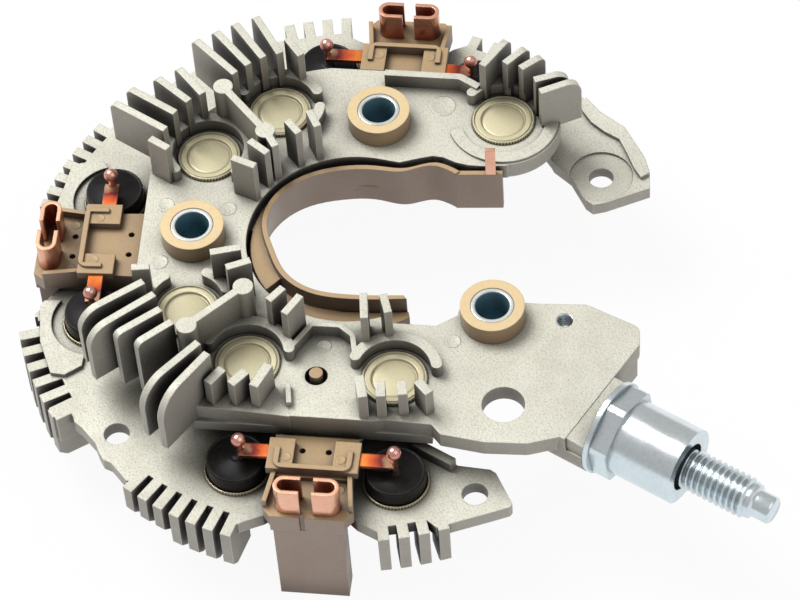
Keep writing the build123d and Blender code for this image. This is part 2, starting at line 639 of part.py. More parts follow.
# Terminal carrier: a ring wall with arms to the three blocks
# Points along the lip of the ring wall, each with how far the foot of the wall flares outwards
RING_LINE = [(9.5, -15.5, 0.2), (3.5, -15, 0.2), (-2.5, -14.1, 0.4), (-8.6, -12.1, 0.8),
             (-13.7, -7.2, 1.2), (-15.8, -1, 1.4), (-16.8, 5, 1.5), (-14.5, 11.7, 1.5),
             (-8.5, 16.4, 1.5), (-1, 18, 1.2), (6, 17.4, 1), (11.5, 16.4, 0.3), (14, 16.9, 0),
             (17.5, 17.2, 0), (20, 16, 0), (21.8, 14.6, 0)]


def ring_spot(spot, out, share):
    """A point beside the lip line, with a share of the flare of its foot added."""
    x, y, flare = spot
    size = Vector(x, y).length
    scale = (size + out + share * flare) / size
    return (x * scale, y * scale)


with BuildPart() as terminal_carrier:
    for level, share in ((RING_LOW, 1), (RING_LIP, 0)):
        with BuildSketch(Plane.XY.offset(level)):
            with BuildLine():
                outer = Spline(*[ring_spot(spot, RING_T / 2, share) for spot in RING_LINE])
                inner = Spline(*[ring_spot(spot, -RING_T / 2, share) for spot in RING_LINE])
                Line(outer @ 0, inner @ 0)
                Line(outer @ 1, inner @ 1)
            make_face()
    loft()
    with BuildSketch(Plane.XY.offset(UPPER_Z - LEDGE_H - 0.3)):
        with BuildLine():
            Polyline(*[ring_spot(spot, 0.9, 0) for spot in RING_LINE[:12]], polar(30, 62),
                     polar(40, 110), polar(50, 180), polar(40, 240), polar(30, 292), close=True)
        make_face()
        Circle(LEDGE_R, mode=Mode.INTERSECT)
    extrude(amount=LEDGE_H)
    with BuildSketch(Plane.XY.offset(UPPER_Z - 0.3)):
        with BuildLine():
            Polyline(*[ring_spot(spot, 0.5, 0) for spot in RING_LINE[4:11]], polar(40, 110),
                     polar(50, 180), polar(40, 215), close=True)
        make_face()
        Circle(HIGH_LEDGE_R, mode=Mode.INTERSECT)
    extrude(amount=LEDGE_H)
    for angle, side, start in BLOCKS.values():
        # Arm under the upper heat sink
        with BuildSketch(block_plane(angle, 0, UPPER_Z - SKIRT_DROP - ARM_T)):
            with Locations(((LEDGE_R - 2 + start + 0.4) / 2, 0)):
                Rectangle(start + 0.4 - LEDGE_R + 2, 2 * ARM_HALF)
        extrude(amount=ARM_T)
        # Block, stepped down beside the hooks
        with BuildSketch(block_plane(angle, side, LOWER_T)):
            with BuildLine():
                Polyline((start, -BLOCK_HALF), (WING_IN, -BLOCK_WAIST), (BLOCK_OUT, -BLOCK_TIP_HALF),
                         (BLOCK_OUT, BLOCK_TIP_HALF), (WING_IN, BLOCK_WAIST), (start, BLOCK_HALF),
                         close=True)
            make_face()
        extrude(amount=BLOCK_H - STEP_DROP)
        with BuildSketch(block_plane(angle, side, deck - STEP_DROP)):
            with BuildLine():
                Polyline((start, -BLOCK_HALF), (STEP_AT, -BLOCK_WAIST), (STEP_AT, BLOCK_WAIST),
                         (start, BLOCK_HALF), close=True)
            make_face()
        extrude(amount=STEP_DROP)
        # Flared wings and their walls
        with BuildSketch(block_plane(angle, side, LOWER_T + WING_LOW)):
            with BuildLine():
                Polyline((WING_IN, -BLOCK_WAIST), (WING_OUT, -WING_HALF), (BLOCK_OUT, -BLOCK_TIP_HALF),
                         (BLOCK_OUT, BLOCK_TIP_HALF), (WING_OUT, WING_HALF), (WING_IN, BLOCK_WAIST),
                         close=True)
            make_face()
        extrude(amount=BLOCK_H - STEP_DROP - WING_LOW)
        with BuildSketch(block_plane(angle, side, deck - STEP_DROP)):
            for hand in (-1, 1):
                with BuildLine():
                    Polyline((WING_IN, hand * BLOCK_WAIST), (WING_OUT, hand * WING_HALF),
                             (WING_OUT, hand * (WING_HALF - WING_T)),
                             (WING_IN, hand * (BLOCK_WAIST - WING_T)), close=True)
                make_face()
        extrude(amount=WING_RISE)
        # Tray: a pad at each end and a lip round three sides
        with BuildSketch(block_plane(angle, side, deck)):
            for hand in (-1, 1):
                with Locations(((TRAY_IN + TRAY_OUT) / 2, hand * (PAD_HALF + TRAY_HALF) / 2)):
                    Rectangle(TRAY_OUT - TRAY_IN, TRAY_HALF - PAD_HALF)
        extrude(amount=TRAY_H)
        with BuildSketch(block_plane(angle, side, deck)) as lip:
            with Locations(((LIP_IN + TRAY_OUT) / 2, 0)):
                Rectangle(TRAY_OUT - LIP_IN, 2 * LIP_HALF)
            fillet(lip.vertices().sort_by(Axis.X)[-2:], 1.8)
            with Locations(((LIP_IN + TRAY_OUT) / 2 - LIP_T, 0)):
                Rectangle(TRAY_OUT - LIP_IN, 2 * (LIP_HALF - LIP_T), mode=Mode.SUBTRACT)
        extrude(amount=TRAY_H + LIP_RISE)
        # Leg, and the groove above it
        with BuildSketch(block_plane(angle, side, -LEG_DROP)):
            with Locations(((LEG_IN + LEG_OUT) / 2, 0)):
                Rectangle(LEG_OUT - LEG_IN, 2 * LEG_HALF)
        extrude(amount=LEG_DROP + LOWER_T)
        with BuildSketch(block_plane(angle, side, LOWER_T)):
            with Locations((BLOCK_OUT, GROOVE_SIDE)):
                Rectangle(GROOVE_W, GROOVE_W)
        extrude(amount=BLOCK_H - STEP_DROP, mode=Mode.SUBTRACT)
        with BuildSketch(block_plane(angle, side, LOWER_T)):
            with Locations((BLOCK_OUT, GROOVE_SIDE + GROOVE_W / 2)):
                Rectangle(GROOVE_W, 2 * GROOVE_W)
        extrude(amount=DECK_HOLE_R, mode=Mode.SUBTRACT)
        with BuildSketch(block_plane(angle, side, strip_low + STRIP_T + 1)):
            for along in (start + 3.4, STEP_AT + 1.4):
                for hand in (-1, 1):
                    with Locations((along, hand * (STRIP_SIDE - 1))):
                        Circle(DECK_HOLE_R)
        extrude(amount=BLOCK_H, mode=Mode.SUBTRACT)
    for key in ("1", "2"):
        with BuildSketch(Plane.XY.offset(LOWER_T)):
            with Locations(polar(*SLEEVES[key])):
                Circle(SLEEVE_R + BOSS_WALL)
        extrude(amount=PLATE_GAP)
    with BuildSketch(Plane.XY.offset(LOWER_T)):
        with Locations(polar(*SLEEVES["1"]), polar(*SLEEVES["2"])):
            Circle(SLEEVE_R)
    extrude(amount=PLATE_GAP, mode=Mode.SUBTRACT)
    with BuildSketch(Plane.XY.offset(UPPER_Z - SKIRT_DROP)):
        with Locations(PIN_SPOT):
            Circle(PIN_R)
    extrude(amount=SKIRT_DROP + UPPER_T + 1)
    with BuildSketch(Plane.XY.offset(END_BLOCK_LOW)):
        with BuildLine():
            Polyline((21.2, 14.3), (30.5, 13.4), (30.7, 14.4), (21.6, 15.3), close=True)
        make_face()
    extrude(amount=UPPER_TOP - 0.5 - END_BLOCK_LOW)
    for piece in terminals:
        add(piece, mode=Mode.SUBTRACT)
finish(terminal_carrier, "terminal_carrier")

with BuildPart() as sense_tab:
    with BuildSketch(Plane.XY.offset(UPPER_TOP - 0.5)):
        with Locations(Location((28.3, 14, 0), -6)):
            Rectangle(2, STRIP_T)
    extrude(amount=SENSE_TAB_RISE)
finish(sense_tab, "sense_tab")

# Output stud, with its washer and hexagonal sleeve
collar_start = BOSS_FACE + WASHER_T
collar_end = collar_start + HEX_H + COLLAR_L
with BuildPart() as stud_washer:
    with BuildSketch(stud_plane(BOSS_FACE)):
        Circle(WASHER_R)
        Circle(CORE_R, mode=Mode.SUBTRACT)
    extrude(amount=WASHER_T)
finish(stud_washer, "stud_washer")

with BuildPart() as stud_sleeve:
    with BuildSketch(stud_plane(collar_start)):
        RegularPolygon(HEX_AF / 2, 6, major_radius=False, rotation=HEX_TURN)
        Circle(HEX_AF / 2 + 0.9, mode=Mode.INTERSECT)
    extrude(amount=HEX_H)
    with BuildSketch(stud_plane(collar_start + HEX_H)):
        Circle(COLLAR_R)
    extrude(amount=COLLAR_L)
    with BuildSketch(stud_plane(collar_start)):
        Circle(CORE_R)
    extrude(amount=HEX_H + COLLAR_L, mode=Mode.SUBTRACT)
    with BuildSketch(stud_plane(collar_end - COLLAR_RECESS)):
        Circle(COLLAR_RECESS_R)
    extrude(amount=COLLAR_RECESS, mode=Mode.SUBTRACT)
finish(stud_sleeve, "stud_sleeve")

with BuildPart() as output_stud:
    with BuildSketch(stud_plane(BOSS_BACK + 1)):
        Circle(SHANK_R)
    extrude(amount=BOSS_FACE - BOSS_BACK - 1)
    with BuildSketch(stud_plane(BOSS_FACE)):
        Circle(CORE_R)
    extrude(amount=collar_end - BOSS_FACE)
    with BuildSketch(stud_plane(collar_end)):
        Circle(STUD_R)
    extrude(amount=THREAD_L)
    with BuildSketch(stud_plane(collar_end + THREAD_L)):
        Circle(DOG_R)
    extrude(amount=DOG_L)
finish(output_stud, "output_stud")
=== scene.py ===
# Alternator rectifier: finishes, screw thread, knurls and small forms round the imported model.
# The frame is in metres. MM turns a length in millimetres into metres.
import bpy
from math import cos, pi, radians, sin
from mathutils import Matrix, Vector


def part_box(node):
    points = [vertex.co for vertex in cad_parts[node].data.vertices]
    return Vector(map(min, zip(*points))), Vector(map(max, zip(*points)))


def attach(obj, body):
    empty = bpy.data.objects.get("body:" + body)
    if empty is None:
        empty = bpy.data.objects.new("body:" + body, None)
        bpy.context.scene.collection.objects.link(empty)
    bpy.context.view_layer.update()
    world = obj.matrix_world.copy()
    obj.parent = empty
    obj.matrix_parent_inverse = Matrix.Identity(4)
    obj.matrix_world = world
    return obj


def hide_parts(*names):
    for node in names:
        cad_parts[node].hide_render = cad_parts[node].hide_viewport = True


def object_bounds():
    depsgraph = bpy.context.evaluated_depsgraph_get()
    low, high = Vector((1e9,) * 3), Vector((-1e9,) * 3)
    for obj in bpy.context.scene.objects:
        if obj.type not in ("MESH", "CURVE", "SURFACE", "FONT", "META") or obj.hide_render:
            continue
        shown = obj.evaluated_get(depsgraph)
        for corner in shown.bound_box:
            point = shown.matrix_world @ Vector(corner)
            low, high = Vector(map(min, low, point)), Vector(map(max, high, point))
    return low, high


MM = 0.001

# Camera, as fitted to the photograph
VIEW_TARGET = Vector((8.5, -19.5, 17.5)) * MM
VIEW_DISTANCE = 688.4 * MM
VIEW_ELEVATION = radians(51.965)
VIEW_ROLL = radians(-4.451)
LENS = 162.6
SENSOR_WIDTH = 36

# Sizes shared with the solids, those of the stud in metres and the rest in millimetres
STUD_ANGLE = radians(-38)
STUD_SIDE = -9.4 * MM
STUD_Z = 10.2 * MM
STUD_R = 4.0 * MM
CORE_R = 3.6 * MM
SHANK_R = 2.6 * MM
RUN_OUT_R = 3.45 * MM
DOG_R = 2.7 * MM
THREAD_PITCH = 1.25 * MM
THREAD_DEPTH = 0.72 * MM
TAPPED_PITCH = 0.7
TAPPED_DEPTH = 0.26
CUP_R = 6.4
LEAD_R = 0.65
BALL_R = 1.4
BALL_Z = 12.4
KNURLS = 64
CENTRE_R = 0.05  # where the end of a turned piece closes
UPPER_TOP = 13.4
RESIN_TOP = 7.0
SLEEVE_R = 4.2
SLEEVE_BORE_R = 3.25
SLEEVE_TOP = 17.5
TAPPED_R = 1.65
TAPPED_HOLE = (39.5, -24.3)
PAD_TOP = 10.2
STEP_TOP = 7.5
BLOCKS = ((80.0, -4.6), (172.5, -0.8), (260.0, -1.2))
KEYS = "abcdef"

# Looks, light and stage
EDGE_RADIUS = 0.35 * MM
# reach of the ambient occlusion that paints shade in hollows
PAINTED_SHADE_REACH = 13 * MM
AMBIENT = 0.45
BACKGROUND = 1.0
FLOOR_GLOW = 0.93
FLOOR_GAP = 0.05 * MM
FLOOR_HALF = 2.5

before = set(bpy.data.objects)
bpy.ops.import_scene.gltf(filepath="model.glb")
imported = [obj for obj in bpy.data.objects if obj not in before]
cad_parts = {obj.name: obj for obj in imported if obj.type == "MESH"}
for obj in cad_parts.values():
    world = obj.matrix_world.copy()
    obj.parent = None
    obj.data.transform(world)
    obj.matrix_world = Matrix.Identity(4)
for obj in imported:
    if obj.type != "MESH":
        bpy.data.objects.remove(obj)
cad_box = [list(corner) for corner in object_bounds()]
floor_z = cad_box[0][2] - FLOOR_GAP


# Node groups

def new_group(name, inputs, outputs):
    """A shader node group with named sockets, each given as (name, type, default)."""
    group = bpy.data.node_groups.new(name, "ShaderNodeTree")
    for label, kind, default in inputs:
        socket = group.interface.new_socket(name=label, in_out="INPUT", socket_type=kind)
        if default is not None:
            socket.default_value = default
    for label, kind in outputs:
        group.interface.new_socket(name=label, in_out="OUTPUT", socket_type=kind)
    return group, group.nodes.new("NodeGroupInput"), group.nodes.new("NodeGroupOutput")


def noise(nodes, links, vector, scale, detail, roughness=0.5):
    """Noise from 0 to 1 over a vector. The scale is a number or a socket."""
    node = nodes.new("ShaderNodeTexNoise")
    node.inputs["Detail"].default_value = detail
    node.inputs["Roughness"].default_value = roughness
    links.new(vector, node.inputs["Vector"])
    if isinstance(scale, (int, float)):
        node.inputs["Scale"].default_value = scale
    else:
        links.new(scale, node.inputs["Scale"])
    return node.outputs["Fac"]


def spread(nodes, links, value, low, high, out_low=0.0, out_high=1.0):
    """A value mapped from low..high to out_low..out_high and held between them."""
    node = nodes.new("ShaderNodeMapRange")
    node.inputs["From Min"].default_value = low
    node.inputs["From Max"].default_value = high
    node.inputs["To Min"].default_value = out_low
    node.inputs["To Max"].default_value = out_high
    links.new(value, node.inputs["Value"])
    return node.outputs["Result"]


def mix_color(nodes, links, factor, a, b, mode="MIX"):
    """Colour a turned into b by a factor. Each of the three is a constant or a socket."""
    node = nodes.new("ShaderNodeMix")
    node.data_type = "RGBA"
    node.blend_type = mode
    for value, socket in ((factor, node.inputs[0]), (a, node.inputs[6]), (b, node.inputs[7])):
        if isinstance(value, (int, float, tuple)):
            socket.default_value = value
        else:
            links.new(value, socket)
    return node.outputs[2]


def calc(nodes, links, operation, a, b):
    """One step of arithmetic on two numbers or sockets."""
    node = nodes.new("ShaderNodeMath")
    node.operation = operation
    for value, socket in ((a, node.inputs[0]), (b, node.inputs[1])):
        if isinstance(value, (int, float)):
            socket.default_value = value
        else:
            links.new(value, socket)
    return node.outputs[0]


def make_grain_group():
    """Fine speckle and slow blotches over a surface, with painted shade on its sides: faces that
    turn sideways take a colour of their own.
    """
    group, gin, gout = new_group("grain", [
        ("Color", "NodeSocketColor", (0.5, 0.5, 0.5, 1)),
        ("Side Color", "NodeSocketColor", (0.4, 0.4, 0.4, 1)),
        ("Speckle Color", "NodeSocketColor", (0.3, 0.3, 0.3, 1)),
        ("Speckle Size", "NodeSocketFloat", 2000.0),
        ("Speckle", "NodeSocketFloat", 0.5),
        ("Blotch", "NodeSocketFloat", 0.2),
        ("Roughness", "NodeSocketFloat", 0.5)],
        [("Color", "NodeSocketColor"), ("Roughness", "NodeSocketFloat"),
         ("Height", "NodeSocketFloat")])
    nodes, links = group.nodes, group.links
    coords = nodes.new("ShaderNodeTexCoord").outputs["Object"]
    fine = noise(nodes, links, coords, gin.outputs["Speckle Size"], 2.0, 0.6)
    coarse = noise(nodes, links, coords, 130.0, 3.0, 0.55)
    slow = noise(nodes, links, coords, 28.0, 2.0, 0.5)
    facing = nodes.new("ShaderNodeSeparateXYZ")
    links.new(nodes.new("ShaderNodeNewGeometry").outputs["True Normal"], facing.inputs[0])
    # painted shade: faces that turn away from up blend into the side colour
    side = spread(nodes, links, facing.outputs["Z"], 0.8, 0.3)
    color = mix_color(nodes, links, side, gin.outputs["Color"], gin.outputs["Side Color"])
    dark = spread(nodes, links, fine, 0.50, 0.70)
    dark = calc(nodes, links, "MULTIPLY", dark, gin.outputs["Speckle"])
    color = mix_color(nodes, links, dark, color, gin.outputs["Speckle Color"])
    light = spread(nodes, links, fine, 0.46, 0.30)
    light = calc(nodes, links, "MULTIPLY", light, gin.outputs["Speckle"])
    light = calc(nodes, links, "MULTIPLY", light, 0.4)
    color = mix_color(nodes, links, light, color, (0.85, 0.84, 0.80, 1), "SOFT_LIGHT")
    both = calc(nodes, links, "ADD", spread(nodes, links, coarse, 0.4, 0.65),
                spread(nodes, links, slow, 0.4, 0.62))
    patch = calc(nodes, links, "MULTIPLY", both, gin.outputs["Blotch"])
    color = mix_color(nodes, links, patch, color, gin.outputs["Speckle Color"])
    rough = calc(nodes, links, "ADD", gin.outputs["Roughness"],
                 spread(nodes, links, coarse, 0.3, 0.7, -0.08, 0.08))
    links.new(color, gout.inputs["Color"])
    links.new(rough, gout.inputs["Roughness"])
    links.new(fine, gout.inputs["Height"])
    return group


def make_soft_edge_group():
    """A normal with small rounded edges and a bump, a mask of painted shade in crevices from
    ambient occlusion, and a mask of painted highlight on open outer edges.
    """
    group, gin, gout = new_group("soft_edge", [
        ("Height", "NodeSocketFloat", 0.5),
        ("Strength", "NodeSocketFloat", 0.2),
        ("Depth", "NodeSocketFloat", 0.0001)],
        [("Normal", "NodeSocketVector"), ("Painted Shade", "NodeSocketFloat"),
         ("Edge Highlight", "NodeSocketFloat")])
    nodes, links = group.nodes, group.links
    bevel = nodes.new("ShaderNodeBevel")
    bevel.samples = 4
    bevel.inputs["Radius"].default_value = EDGE_RADIUS
    bump = nodes.new("ShaderNodeBump")
    links.new(gin.outputs["Height"], bump.inputs["Height"])
    links.new(gin.outputs["Strength"], bump.inputs["Strength"])
    links.new(gin.outputs["Depth"], bump.inputs["Distance"])
    links.new(bevel.outputs["Normal"], bump.inputs["Normal"])
    shade = nodes.new("ShaderNodeAmbientOcclusion")
    shade.samples = 8
    shade.inputs["Distance"].default_value = PAINTED_SHADE_REACH
    turn = nodes.new("ShaderNodeVectorMath")
    turn.operation = "DOT_PRODUCT"
    links.new(bevel.outputs["Normal"], turn.inputs[0])
    links.new(nodes.new("ShaderNodeNewGeometry").outputs["Normal"], turn.inputs[1])
    # painted highlight: rounded outer edges that are open to the air get lighter
    edge = spread(nodes, links, turn.outputs["Value"], 0.985, 0.88)
    open_air = spread(nodes, links, shade.outputs["AO"], 0.35, 0.7)
    links.new(bump.outputs["Normal"], gout.inputs["Normal"])
    # painted shade: the mask grows where ambient occlusion finds the surface closed in
    links.new(spread(nodes, links, shade.outputs["AO"], 0.78, 0.26), gout.inputs["Painted Shade"])
    links.new(calc(nodes, links, "MULTIPLY", edge, open_air), gout.inputs["Edge Highlight"])
    return group


def make_heat_tint_group():
    """Colours that welding leaves on copper, by the distance from the weld."""
    group, gin, gout = new_group("heat_tint", [
        ("Color", "NodeSocketColor", (0.8, 0.4, 0.25, 1)),
        ("Weld", "NodeSocketVector", None)],
        [("Color", "NodeSocketColor")])
    nodes, links = group.nodes, group.links
    away = nodes.new("ShaderNodeVectorMath")
    away.operation = "DISTANCE"
    links.new(nodes.new("ShaderNodeTexCoord").outputs["Object"], away.inputs[0])
    links.new(gin.outputs["Weld"], away.inputs[1])
    reach = calc(nodes, links, "MULTIPLY", away.outputs["Value"], 1000.0)
    wander = noise(nodes, links, away.inputs[0].links[0].from_socket, 420.0, 2.0)
    reach = calc(nodes, links, "ADD", reach, spread(nodes, links, wander, 0.3, 0.7, -0.3, 0.3))
    color = gin.outputs["Color"]
    for near, far, tint in ((9.6, 7.4, (0.90, 0.25, 0.05, 1)), (6.4, 5.0, (0.60, 0.10, 0.03, 1)),
                            (4.9, 3.9, (0.20, 0.035, 0.03, 1)), (3.6, 2.6, (0.60, 0.46, 0.28, 1))):
        color = mix_color(nodes, links, spread(nodes, links, reach, near, far), color, tint)
    links.new(color, gout.inputs["Color"])
    return group


GRAIN = make_grain_group()
SOFT_EDGE = make_soft_edge_group()
HEAT_TINT = make_heat_tint_group()


def use_group(tree, group, **values):
    """A group in a material, with its constants set. An underscore stands for a space."""
    node = tree.nodes.new("ShaderNodeGroup")
    node.node_tree = group
    for name, value in values.items():
        node.inputs[name.replace("_", " ")].default_value = value
    return node


def finish_of(name, color, side, speckle, speckle_size, roughness, metallic, speckle_amount=0.4,
              blotch=0.2, bump=0.2, depth=0.08, painted_shade=0.6, painted_shade_color=(0.03, 0.028, 0.025, 1),
              edge=0.0, weld=None, specular=0.5):
    """A material from the groups: grain for colour and roughness, soft edges for the normal.
    Speckles are smaller as their size number grows. The depth of the bump is in millimetres.
    The side colour paints shade on faces that turn sideways, the dark hollow colour paints shade
    where ambient occlusion finds crevices, and the edge amount paints a highlight on open edges."""
    material = bpy.data.materials.new(name)
    material.use_nodes = True
    tree = material.node_tree
    shader = tree.nodes["Principled BSDF"]
    grain = use_group(tree, GRAIN, Color=(*color, 1), Side_Color=(*side, 1),
                      Speckle_Color=(*speckle, 1), Speckle_Size=speckle_size,
                      Speckle=speckle_amount, Blotch=blotch, Roughness=roughness)
    corner = use_group(tree, SOFT_EDGE, Strength=bump, Depth=depth * MM)
    tree.links.new(grain.outputs["Height"], corner.inputs["Height"])
    shaded = grain.outputs["Color"]
    if weld is not None:
        tint = use_group(tree, HEAT_TINT, Weld=weld)
        tree.links.new(shaded, tint.inputs["Color"])
        shaded = tint.outputs["Color"]
    # painted highlight: open edges blend towards a lighter colour
    edge_highlight_mix = calc(tree.nodes, tree.links, "MULTIPLY", corner.outputs["Edge Highlight"], edge)
    highlight_color = tuple(0.25 + 0.75 * value for value in color)
    shaded = mix_color(tree.nodes, tree.links, edge_highlight_mix, shaded, (*highlight_color, 1))
    # painted shade: hollows blend towards a dark colour by the occlusion mask
    painted_shade_amount = calc(tree.nodes, tree.links, "MULTIPLY", corner.outputs["Painted Shade"], painted_shade)
    shaded = mix_color(tree.nodes, tree.links, painted_shade_amount, shaded, painted_shade_color)
    tree.links.new(shaded, shader.inputs["Base Color"])
    tree.links.new(grain.outputs["Roughness"], shader.inputs["Roughness"])
    tree.links.new(corner.outputs["Normal"], shader.inputs["Normal"])
    shader.inputs["Metallic"].default_value = metallic
    shader.inputs["Specular IOR Level"].default_value = specular
    return material


# In each finish below, the second colour is painted shade on faces that turn sideways, the dark
# hollow colour is painted shade from ambient occlusion, and the edge amount is a painted highlight
# on open edges.
CAST = finish_of("die_cast_aluminium", color=(0.63, 0.615, 0.52), side=(0.40, 0.38, 0.34),
                 speckle=(0.33, 0.31, 0.26), speckle_size=2400.0, roughness=0.55, metallic=0.28,
                 speckle_amount=0.5, blotch=0.14, bump=0.5, depth=0.14, painted_shade=0.96,
                 painted_shade_color=(0.010, 0.009, 0.007, 1), edge=0.9)
MOULDING = finish_of("brown_moulding", color=(0.45, 0.305, 0.155), side=(0.33, 0.25, 0.205),
                     speckle=(0.28, 0.19, 0.11), speckle_size=1400.0, roughness=0.42, metallic=0.0,
                     speckle_amount=0.2, blotch=0.12, bump=0.15, depth=0.05, painted_shade=0.85,
                     painted_shade_color=(0.03, 0.015, 0.008, 1), edge=0.4)
BUSH = finish_of("bush_moulding", color=(0.72, 0.55, 0.30), side=(0.34, 0.23, 0.125),
                 speckle=(0.42, 0.30, 0.17), speckle_size=1400.0, roughness=0.38, metallic=0.0,
                 speckle_amount=0.15, blotch=0.1, bump=0.12, depth=0.05, painted_shade=0.8,
                 painted_shade_color=(0.03, 0.015, 0.008, 1), edge=0.3)
RESIN = finish_of("black_resin", color=(0.006, 0.005, 0.005), side=(0.005, 0.004, 0.004),
                  speckle=(0.025, 0.024, 0.022), speckle_size=900.0, roughness=0.30, metallic=0.0,
                  speckle_amount=0.25, blotch=0.1, bump=0.10, depth=0.05, painted_shade=0.0, edge=0.16,
                  specular=0.16)
CUP = finish_of("pressed_cup", color=(0.63, 0.57, 0.37), side=(0.34, 0.30, 0.19),
                speckle=(0.50, 0.44, 0.28), speckle_size=1600.0, roughness=0.42, metallic=0.35,
                speckle_amount=0.25, blotch=0.15, bump=0.14, depth=0.06, painted_shade=0.6,
                painted_shade_color=(0.03, 0.026, 0.015, 1), edge=0.5)
RING = finish_of("plated_ring", color=(0.72, 0.64, 0.44), side=(0.50, 0.43, 0.28),
                 speckle=(0.34, 0.29, 0.18), speckle_size=1200.0, roughness=0.34, metallic=0.6,
                 speckle_amount=0.2, blotch=0.2, bump=0.1, depth=0.05, painted_shade=0.5,
                 painted_shade_color=(0.02, 0.015, 0.008, 1), edge=0.5)
BALL = finish_of("melted_copper", color=(0.84, 0.46, 0.39), side=(0.62, 0.26, 0.21),
                 speckle=(0.62, 0.30, 0.22), speckle_size=500.0, roughness=0.24, metallic=0.85,
                 speckle_amount=0.2, blotch=0.2, bump=0.1, depth=0.05, painted_shade=0.3,
                 painted_shade_color=(0.06, 0.01, 0.01, 1))
TINNED = finish_of("tinned_wire", color=(0.85, 0.84, 0.82), side=(0.80, 0.79, 0.77),
                   speckle=(0.65, 0.64, 0.62), speckle_size=900.0, roughness=0.3, metallic=0.6,
                   speckle_amount=0.2, blotch=0.1, bump=0.1, depth=0.05, painted_shade=0.0)
ZINC = finish_of("zinc_plate", color=(0.80, 0.85, 0.86), side=(0.68, 0.79, 0.84),
                 speckle=(0.55, 0.60, 0.62), speckle_size=1500.0, roughness=0.24, metallic=0.88,
                 speckle_amount=0.3, blotch=0.15, bump=0.15, depth=0.05, painted_shade=0.6,
                 painted_shade_color=(0.02, 0.022, 0.024, 1), edge=0.3)
# The bluish side colour and the bluish hollow colour of the sleeve are painted reflection of the
# surroundings.
SLEEVE = finish_of("turned_steel", color=(0.66, 0.66, 0.62), side=(0.24, 0.46, 0.54),
                   speckle=(0.4, 0.45, 0.46), speckle_size=900.0, roughness=0.30, metallic=0.6,
                   speckle_amount=0.15, blotch=0.1, bump=0.1, depth=0.04, painted_shade=0.6,
                   painted_shade_color=(0.02, 0.085, 0.12, 1), edge=0.4)
# The dark red hollow colour is painted shade inside the hooks, tinted like copper's own reflected
# light; the lighter side colour is painted light on the sides.
COPPER_LOOK = dict(color=(0.88, 0.46, 0.30), side=(0.88, 0.50, 0.36), speckle=(0.64, 0.28, 0.15),
                   speckle_size=700.0, roughness=0.28, metallic=0.8, speckle_amount=0.2, blotch=0.2,
                   bump=0.1, depth=0.05, painted_shade=0.85, painted_shade_color=(0.30, 0.035, 0.012, 1),
                   edge=0.5)
COPPER = finish_of("copper", **COPPER_LOOK)


def dress(prefix, material, suffix=""):
    """Give a material to the nodes whose names start and end in this way."""
    for name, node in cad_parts.items():
        if name.startswith(prefix) and name.endswith(suffix):
            node.data.materials.clear()
            node.data.materials.append(material)


dress("positive_heat_sink", CAST)
dress("negative_heat_sink", CAST)
dress("terminal_carrier", MOULDING)
dress("insulating_bush", BUSH)
dress("mounting_sleeve", SLEEVE)
dress("positive_diode", CUP, "cup")
dress("negative_diode", CUP, "cup")
dress("positive_diode", RESIN, "resin")
dress("negative_diode", RESIN, "resin")
dress("positive_diode", TINNED, "lead")
dress("negative_diode", BALL, "lead")
for key in KEYS:
    low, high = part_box(f"negative_diode_{key}_lead")
    weld = ((low[0] + high[0]) / 2, (low[1] + high[1]) / 2, BALL_Z * MM)
    dress("phase_terminal", finish_of(f"copper_terminal_{key}", **COPPER_LOOK, weld=weld), key)
dress("sense_tab", COPPER)
dress("stud", ZINC)
dress("output_stud", ZINC)


# Pieces

def add_mesh(name, vertices, faces, material, smooth=True):
    """An object in the scene from points in metres and faces."""
    mesh = bpy.data.meshes.new(name)
    mesh.from_pydata(vertices, [], faces)
    mesh.update()
    for polygon in mesh.polygons:
        polygon.use_smooth = smooth
    mesh.materials.append(material)
    piece = bpy.data.objects.new(name, mesh)
    bpy.context.scene.collection.objects.link(piece)
    return piece


def soften(piece, angle):
    """Smooth shading, with edges kept sharp above an angle in degrees."""
    piece.data.set_sharp_from_angle(angle=radians(angle))


def lathe(name, profile, material, steps, place, radius_of=None, loop=False):
    """A turned piece from (radius, height) points: a loop, or else closed at both its ends.
    radius_of, if given, changes the radius by step and by height."""
    vertices, faces = [], []
    for radius, height in profile:
        for i in range(steps):
            angle = 2 * pi * i / steps
            r = radius_of(radius, height, i) if radius_of else radius
            vertices.append(place @ Vector((r * cos(angle), r * sin(angle), height)))
    rows = len(profile)
    for row in range(rows if loop else rows - 1):
        for i in range(steps):
            j = (i + 1) % steps
            a, b = row * steps, (row + 1) % rows * steps
            faces.append((a + i, a + j, b + j, b + i))
    if not loop:
        faces.append(tuple(reversed(range(steps))))
        faces.append(tuple((rows - 1) * steps + i for i in range(steps)))
    return add_mesh(name, vertices, faces, material)


def stud_place():
    """Local z runs out along the output stud."""
    out = Vector((cos(STUD_ANGLE), sin(STUD_ANGLE), 0))
    across = Vector((-sin(STUD_ANGLE), cos(STUD_ANGLE), 0))
    matrix = Matrix((across, Vector((0, 0, 1)), out)).transposed().to_4x4()
    matrix.translation = across * STUD_SIDE + Vector((0, 0, STUD_Z))
    return matrix


def keep(piece, slot, *nodes):
    """Attach a piece to the root body and hide the nodes that it stands for. The slot is not used.
    """
    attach(piece, "root")
    if nodes:
        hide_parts(*nodes)


